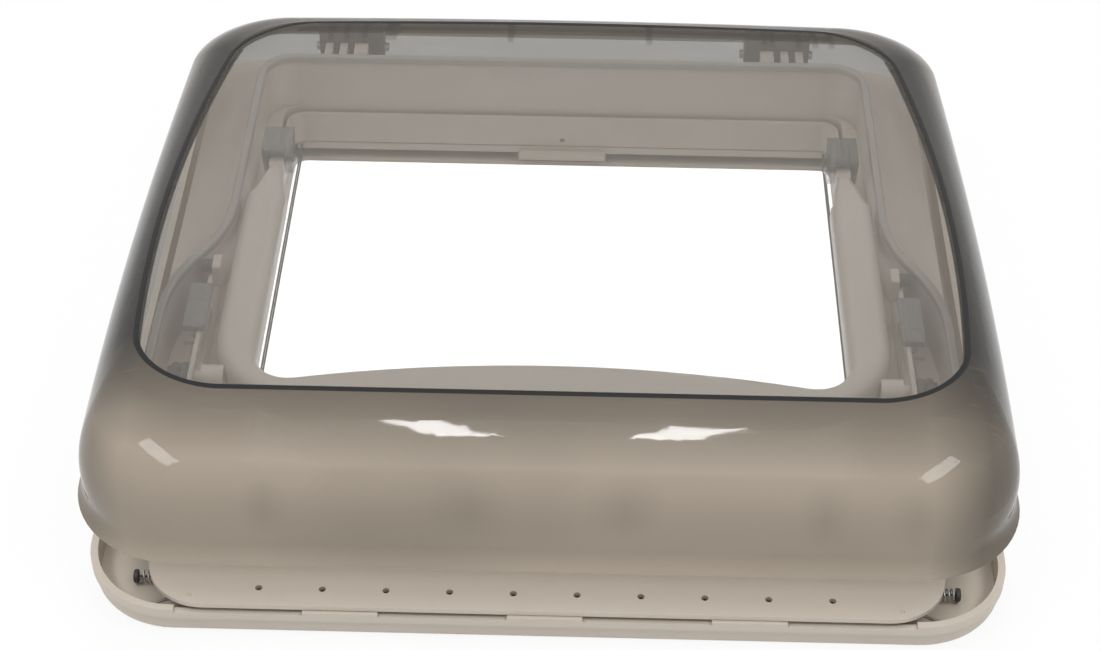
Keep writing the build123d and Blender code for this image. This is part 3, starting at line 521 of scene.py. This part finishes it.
class VENT_OT_finishes(Operator):
    """Give every moulded, glazed, rubber and steel piece its finish"""

    bl_idname = "vent.finishes"
    bl_label = "Finishes"

    def execute(self, context):
        colours = context.scene.vent_colours
        sizes = context.scene.vent_sizes
        dress(
            {
                "beige_plastic": moulded("beige_plastic", colours.frame_beige),
                "frame_plastic": moulded("frame_plastic", colours.frame_beige, 0.38),
                "grey_plastic": moulded("grey_plastic", (0.30, 0.29, 0.275), 0.5),
                "bow_plastic": moulded("bow_plastic", colours.bow_beige, 0.30),
                "guide_plastic": moulded("guide_plastic", shade(colours.frame_beige, 0.92), 0.35),
                "button_plastic": moulded("button_plastic", (0.46, 0.43, 0.39), 0.4),
                "dark_plastic": moulded("dark_plastic", (0.055, 0.052, 0.050), 0.4),
                "stop_plastic": moulded("stop_plastic", (0.05, 0.05, 0.05), 0.45),
                "tinted_acrylic": smoked("tinted_acrylic", colours, sizes),
                "clear_acrylic": clear("clear_acrylic", colours.haze, sizes.pane_cover),
                "clear_plastic": clear("clear_plastic", (0.74, 0.73, 0.70), 0.30, 0.08),
                "black_bond": bonded("black_bond", sizes),
                "seal_rubber": rubber("seal_rubber", (0.37, 0.34, 0.31), 0.5),
                "spring_steel": steel("spring_steel"),
                "screw_steel": steel("screw_steel", (0.58, 0.57, 0.54), 0.3),
                "blind_fabric": woven("blind_fabric", colours.fabric, 0.0009),
                "screen_mesh": woven("screen_mesh", (0.06, 0.06, 0.065), 0.0012, gaps=True),
                "cord": moulded("cord", (0.12, 0.12, 0.12), 0.8, 0.0001),
            }
        )
        return {"FINISHED"}


class VENT_OT_pleats(Operator):
    """Fold the blind and the flyscreen into their packs"""

    bl_idname = "vent.pleats"
    bl_label = "Pleats"

    def execute(self, context):
        sizes = context.scene.vent_sizes
        for name in ("blind", "screen"):
            node = f"{name}_pleats"
            low, high = (Vector(corner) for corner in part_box(node))
            pitch = (high.y - low.y) / sizes.pleat_legs
            rise = high.z - low.z - 2 * sizes.fold_gap
            leg = math.hypot(pitch, rise)
            cloth = bmesh.new()
            uv = cloth.loops.layers.uv.new("cloth")
            row = [cloth.verts.new((x, low.y, low.z + sizes.fold_gap)) for x in (low.x, high.x)]
            edge = cloth.edges.new(row)
            for step in range(sizes.pleat_legs):
                made = bmesh.ops.extrude_edge_only(cloth, edges=[edge])["geom"]
                row = [item for item in made if isinstance(item, bmesh.types.BMVert)]
                edges = [item for item in made if isinstance(item, bmesh.types.BMEdge)]
                edge = next(item for item in edges if set(item.verts) == set(row))
                bmesh.ops.translate(cloth, verts=row, vec=(0, pitch, -rise if step % 2 else rise))
            for face in cloth.faces:
                for corner in face.loops:
                    spot = corner.vert.co
                    corner[uv].uv = (spot.x, round((spot.y - low.y) / pitch) * leg)
            finish = frame["nodes"][node].data.materials[0]
            piece = finished(f"{name}_folds", cloth, finish)
            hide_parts(node)
            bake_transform(piece)
        return {"FINISHED"}


class VENT_OT_stage(Operator):
    """Set the white floor, the soft lamps and the camera"""

    bl_idname = "vent.stage"
    bl_label = "Stage"

    def execute(self, context):
        scene = context.scene
        scene.view_settings.view_transform = "Standard"
        floor = bmesh.new()
        bmesh.ops.create_grid(floor, x_segments=1, y_segments=1, size=6)
        finish = Finish("white_floor")
        finish.wear(Base_Color=(0.80, 0.80, 0.80), Roughness=0.9)
        glow = finish.tree.nodes.new("ShaderNodeEmission")
        join(finish.tree, glow.inputs["Color"], WHITE)
        glazed = finish.node("ShaderNodeLightPath", output="Transparent Depth").ramp(0.5, 1.5)
        x, y, _ = finish.axes()
        off_middle = abs(x).maths("MAXIMUM", abs(y))
        behind = off_middle.ramp(OPENING_HALF, OPENING_HALF + OPENING_FADE, OPENING_GLOW, GLAZED_GLOW)
        join(finish.tree, glow.inputs["Strength"], 1.0 + (behind - 1.0) * glazed)
        mix = finish.tree.nodes.new("ShaderNodeMixShader")
        join(finish.tree, mix.inputs[0], FLOOR_SHARE * rays(finish.tree, SEEN_RAYS))
        finish.tree.links.new(finish.shader.outputs[0], mix.inputs[1])
        finish.tree.links.new(glow.outputs[0], mix.inputs[2])
        output = next(n for n in finish.tree.nodes if n.type == "OUTPUT_MATERIAL")
        finish.tree.links.new(mix.outputs[0], output.inputs["Surface"])
        sheet = finished("floor", floor, finish.material)

        world = bpy.data.worlds.new("studio")
        world.use_nodes = True
        scene.world = world
        back = world.node_tree.nodes["Background"]
        join(world.node_tree, back.inputs["Color"], WHITE)
        seen = rays(world.node_tree, SEEN_RAYS)
        join(world.node_tree, back.inputs["Strength"], SKY_GLOW + (1 - SKY_GLOW) * seen)

        for name, place, aim, width, height, power in LAMPS:
            data = bpy.data.lights.new(name, "AREA")
            data.shape = "RECTANGLE"
            data.size = width
            data.size_y = height
            data.energy = power
            lamp = bpy.data.objects.new(name, data)
            lamp.visible_glossy = "fill" not in name
            lamp.location = place
            lamp.rotation_euler = (Vector(aim) - Vector(place)).to_track_quat("-Z", "Y").to_euler()
            scene.collection.objects.link(lamp)

        # The camera stands where the photograph's did
        rise, yaw, roll = (math.radians(angle) for angle in (CAMERA_RISE, CAMERA_YAW, CAMERA_ROLL))
        ahead = Vector((math.sin(yaw) * math.cos(rise), math.cos(yaw) * math.cos(rise), -math.sin(rise)))
        level = Vector((math.cos(yaw), -math.sin(yaw), 0))
        over = level.cross(ahead)
        right = level * math.cos(roll) + over * math.sin(roll)
        up = over * math.cos(roll) - level * math.sin(roll)
        target = Vector(CAMERA_AIM) * MM
        turn = Matrix((right, up, -ahead)).transposed()
        data = bpy.data.cameras.new("camera")
        data.sensor_width = SENSOR
        data.lens = FOCAL / PICTURE_WIDTH * SENSOR
        data.clip_start = 0.01
        camera = bpy.data.objects.new("camera", data)
        camera.matrix_world = Matrix.Translation(target - ahead * CAMERA_DISTANCE * MM) @ turn.to_4x4()
        scene.collection.objects.link(camera)
        scene.camera = camera
        return {"FINISHED"}


class VENT_PT_panel(Panel):
    """Lists the vent's operators and sizes."""

    bl_label = "Roof vent"
    bl_idname = "VENT_PT_panel"
    bl_space_type = "VIEW_3D"
    bl_region_type = "UI"
    bl_category = "Roof vent"

    def draw(self, context):
        for piece in STEPS:
            self.layout.operator(piece.bl_idname)
        for group in (context.scene.vent_colours, context.scene.vent_sizes):
            for name in group.bl_rna.properties.keys():
                if name not in ("rna_type", "name"):
                    self.layout.prop(group, name)


STEPS = (VENT_OT_finishes, VENT_OT_pleats, VENT_OT_stage)
CLASSES = (VentColours, VentSizes, *STEPS, VENT_PT_panel)


def register():
    for item in CLASSES:
        bpy.utils.register_class(item)
    bpy.types.Scene.vent_colours = PointerProperty(type=VentColours)
    bpy.types.Scene.vent_sizes = PointerProperty(type=VentSizes)


def unregister():
    del bpy.types.Scene.vent_sizes
    del bpy.types.Scene.vent_colours
    for item in reversed(CLASSES):
        bpy.utils.unregister_class(item)


def main():
    register()
    for step in STEPS:
        group, name = step.bl_idname.split(".")
        getattr(getattr(bpy.ops, group), name)()
    bpy.context.view_layer.update()


if __name__ == "__main__":
    main()
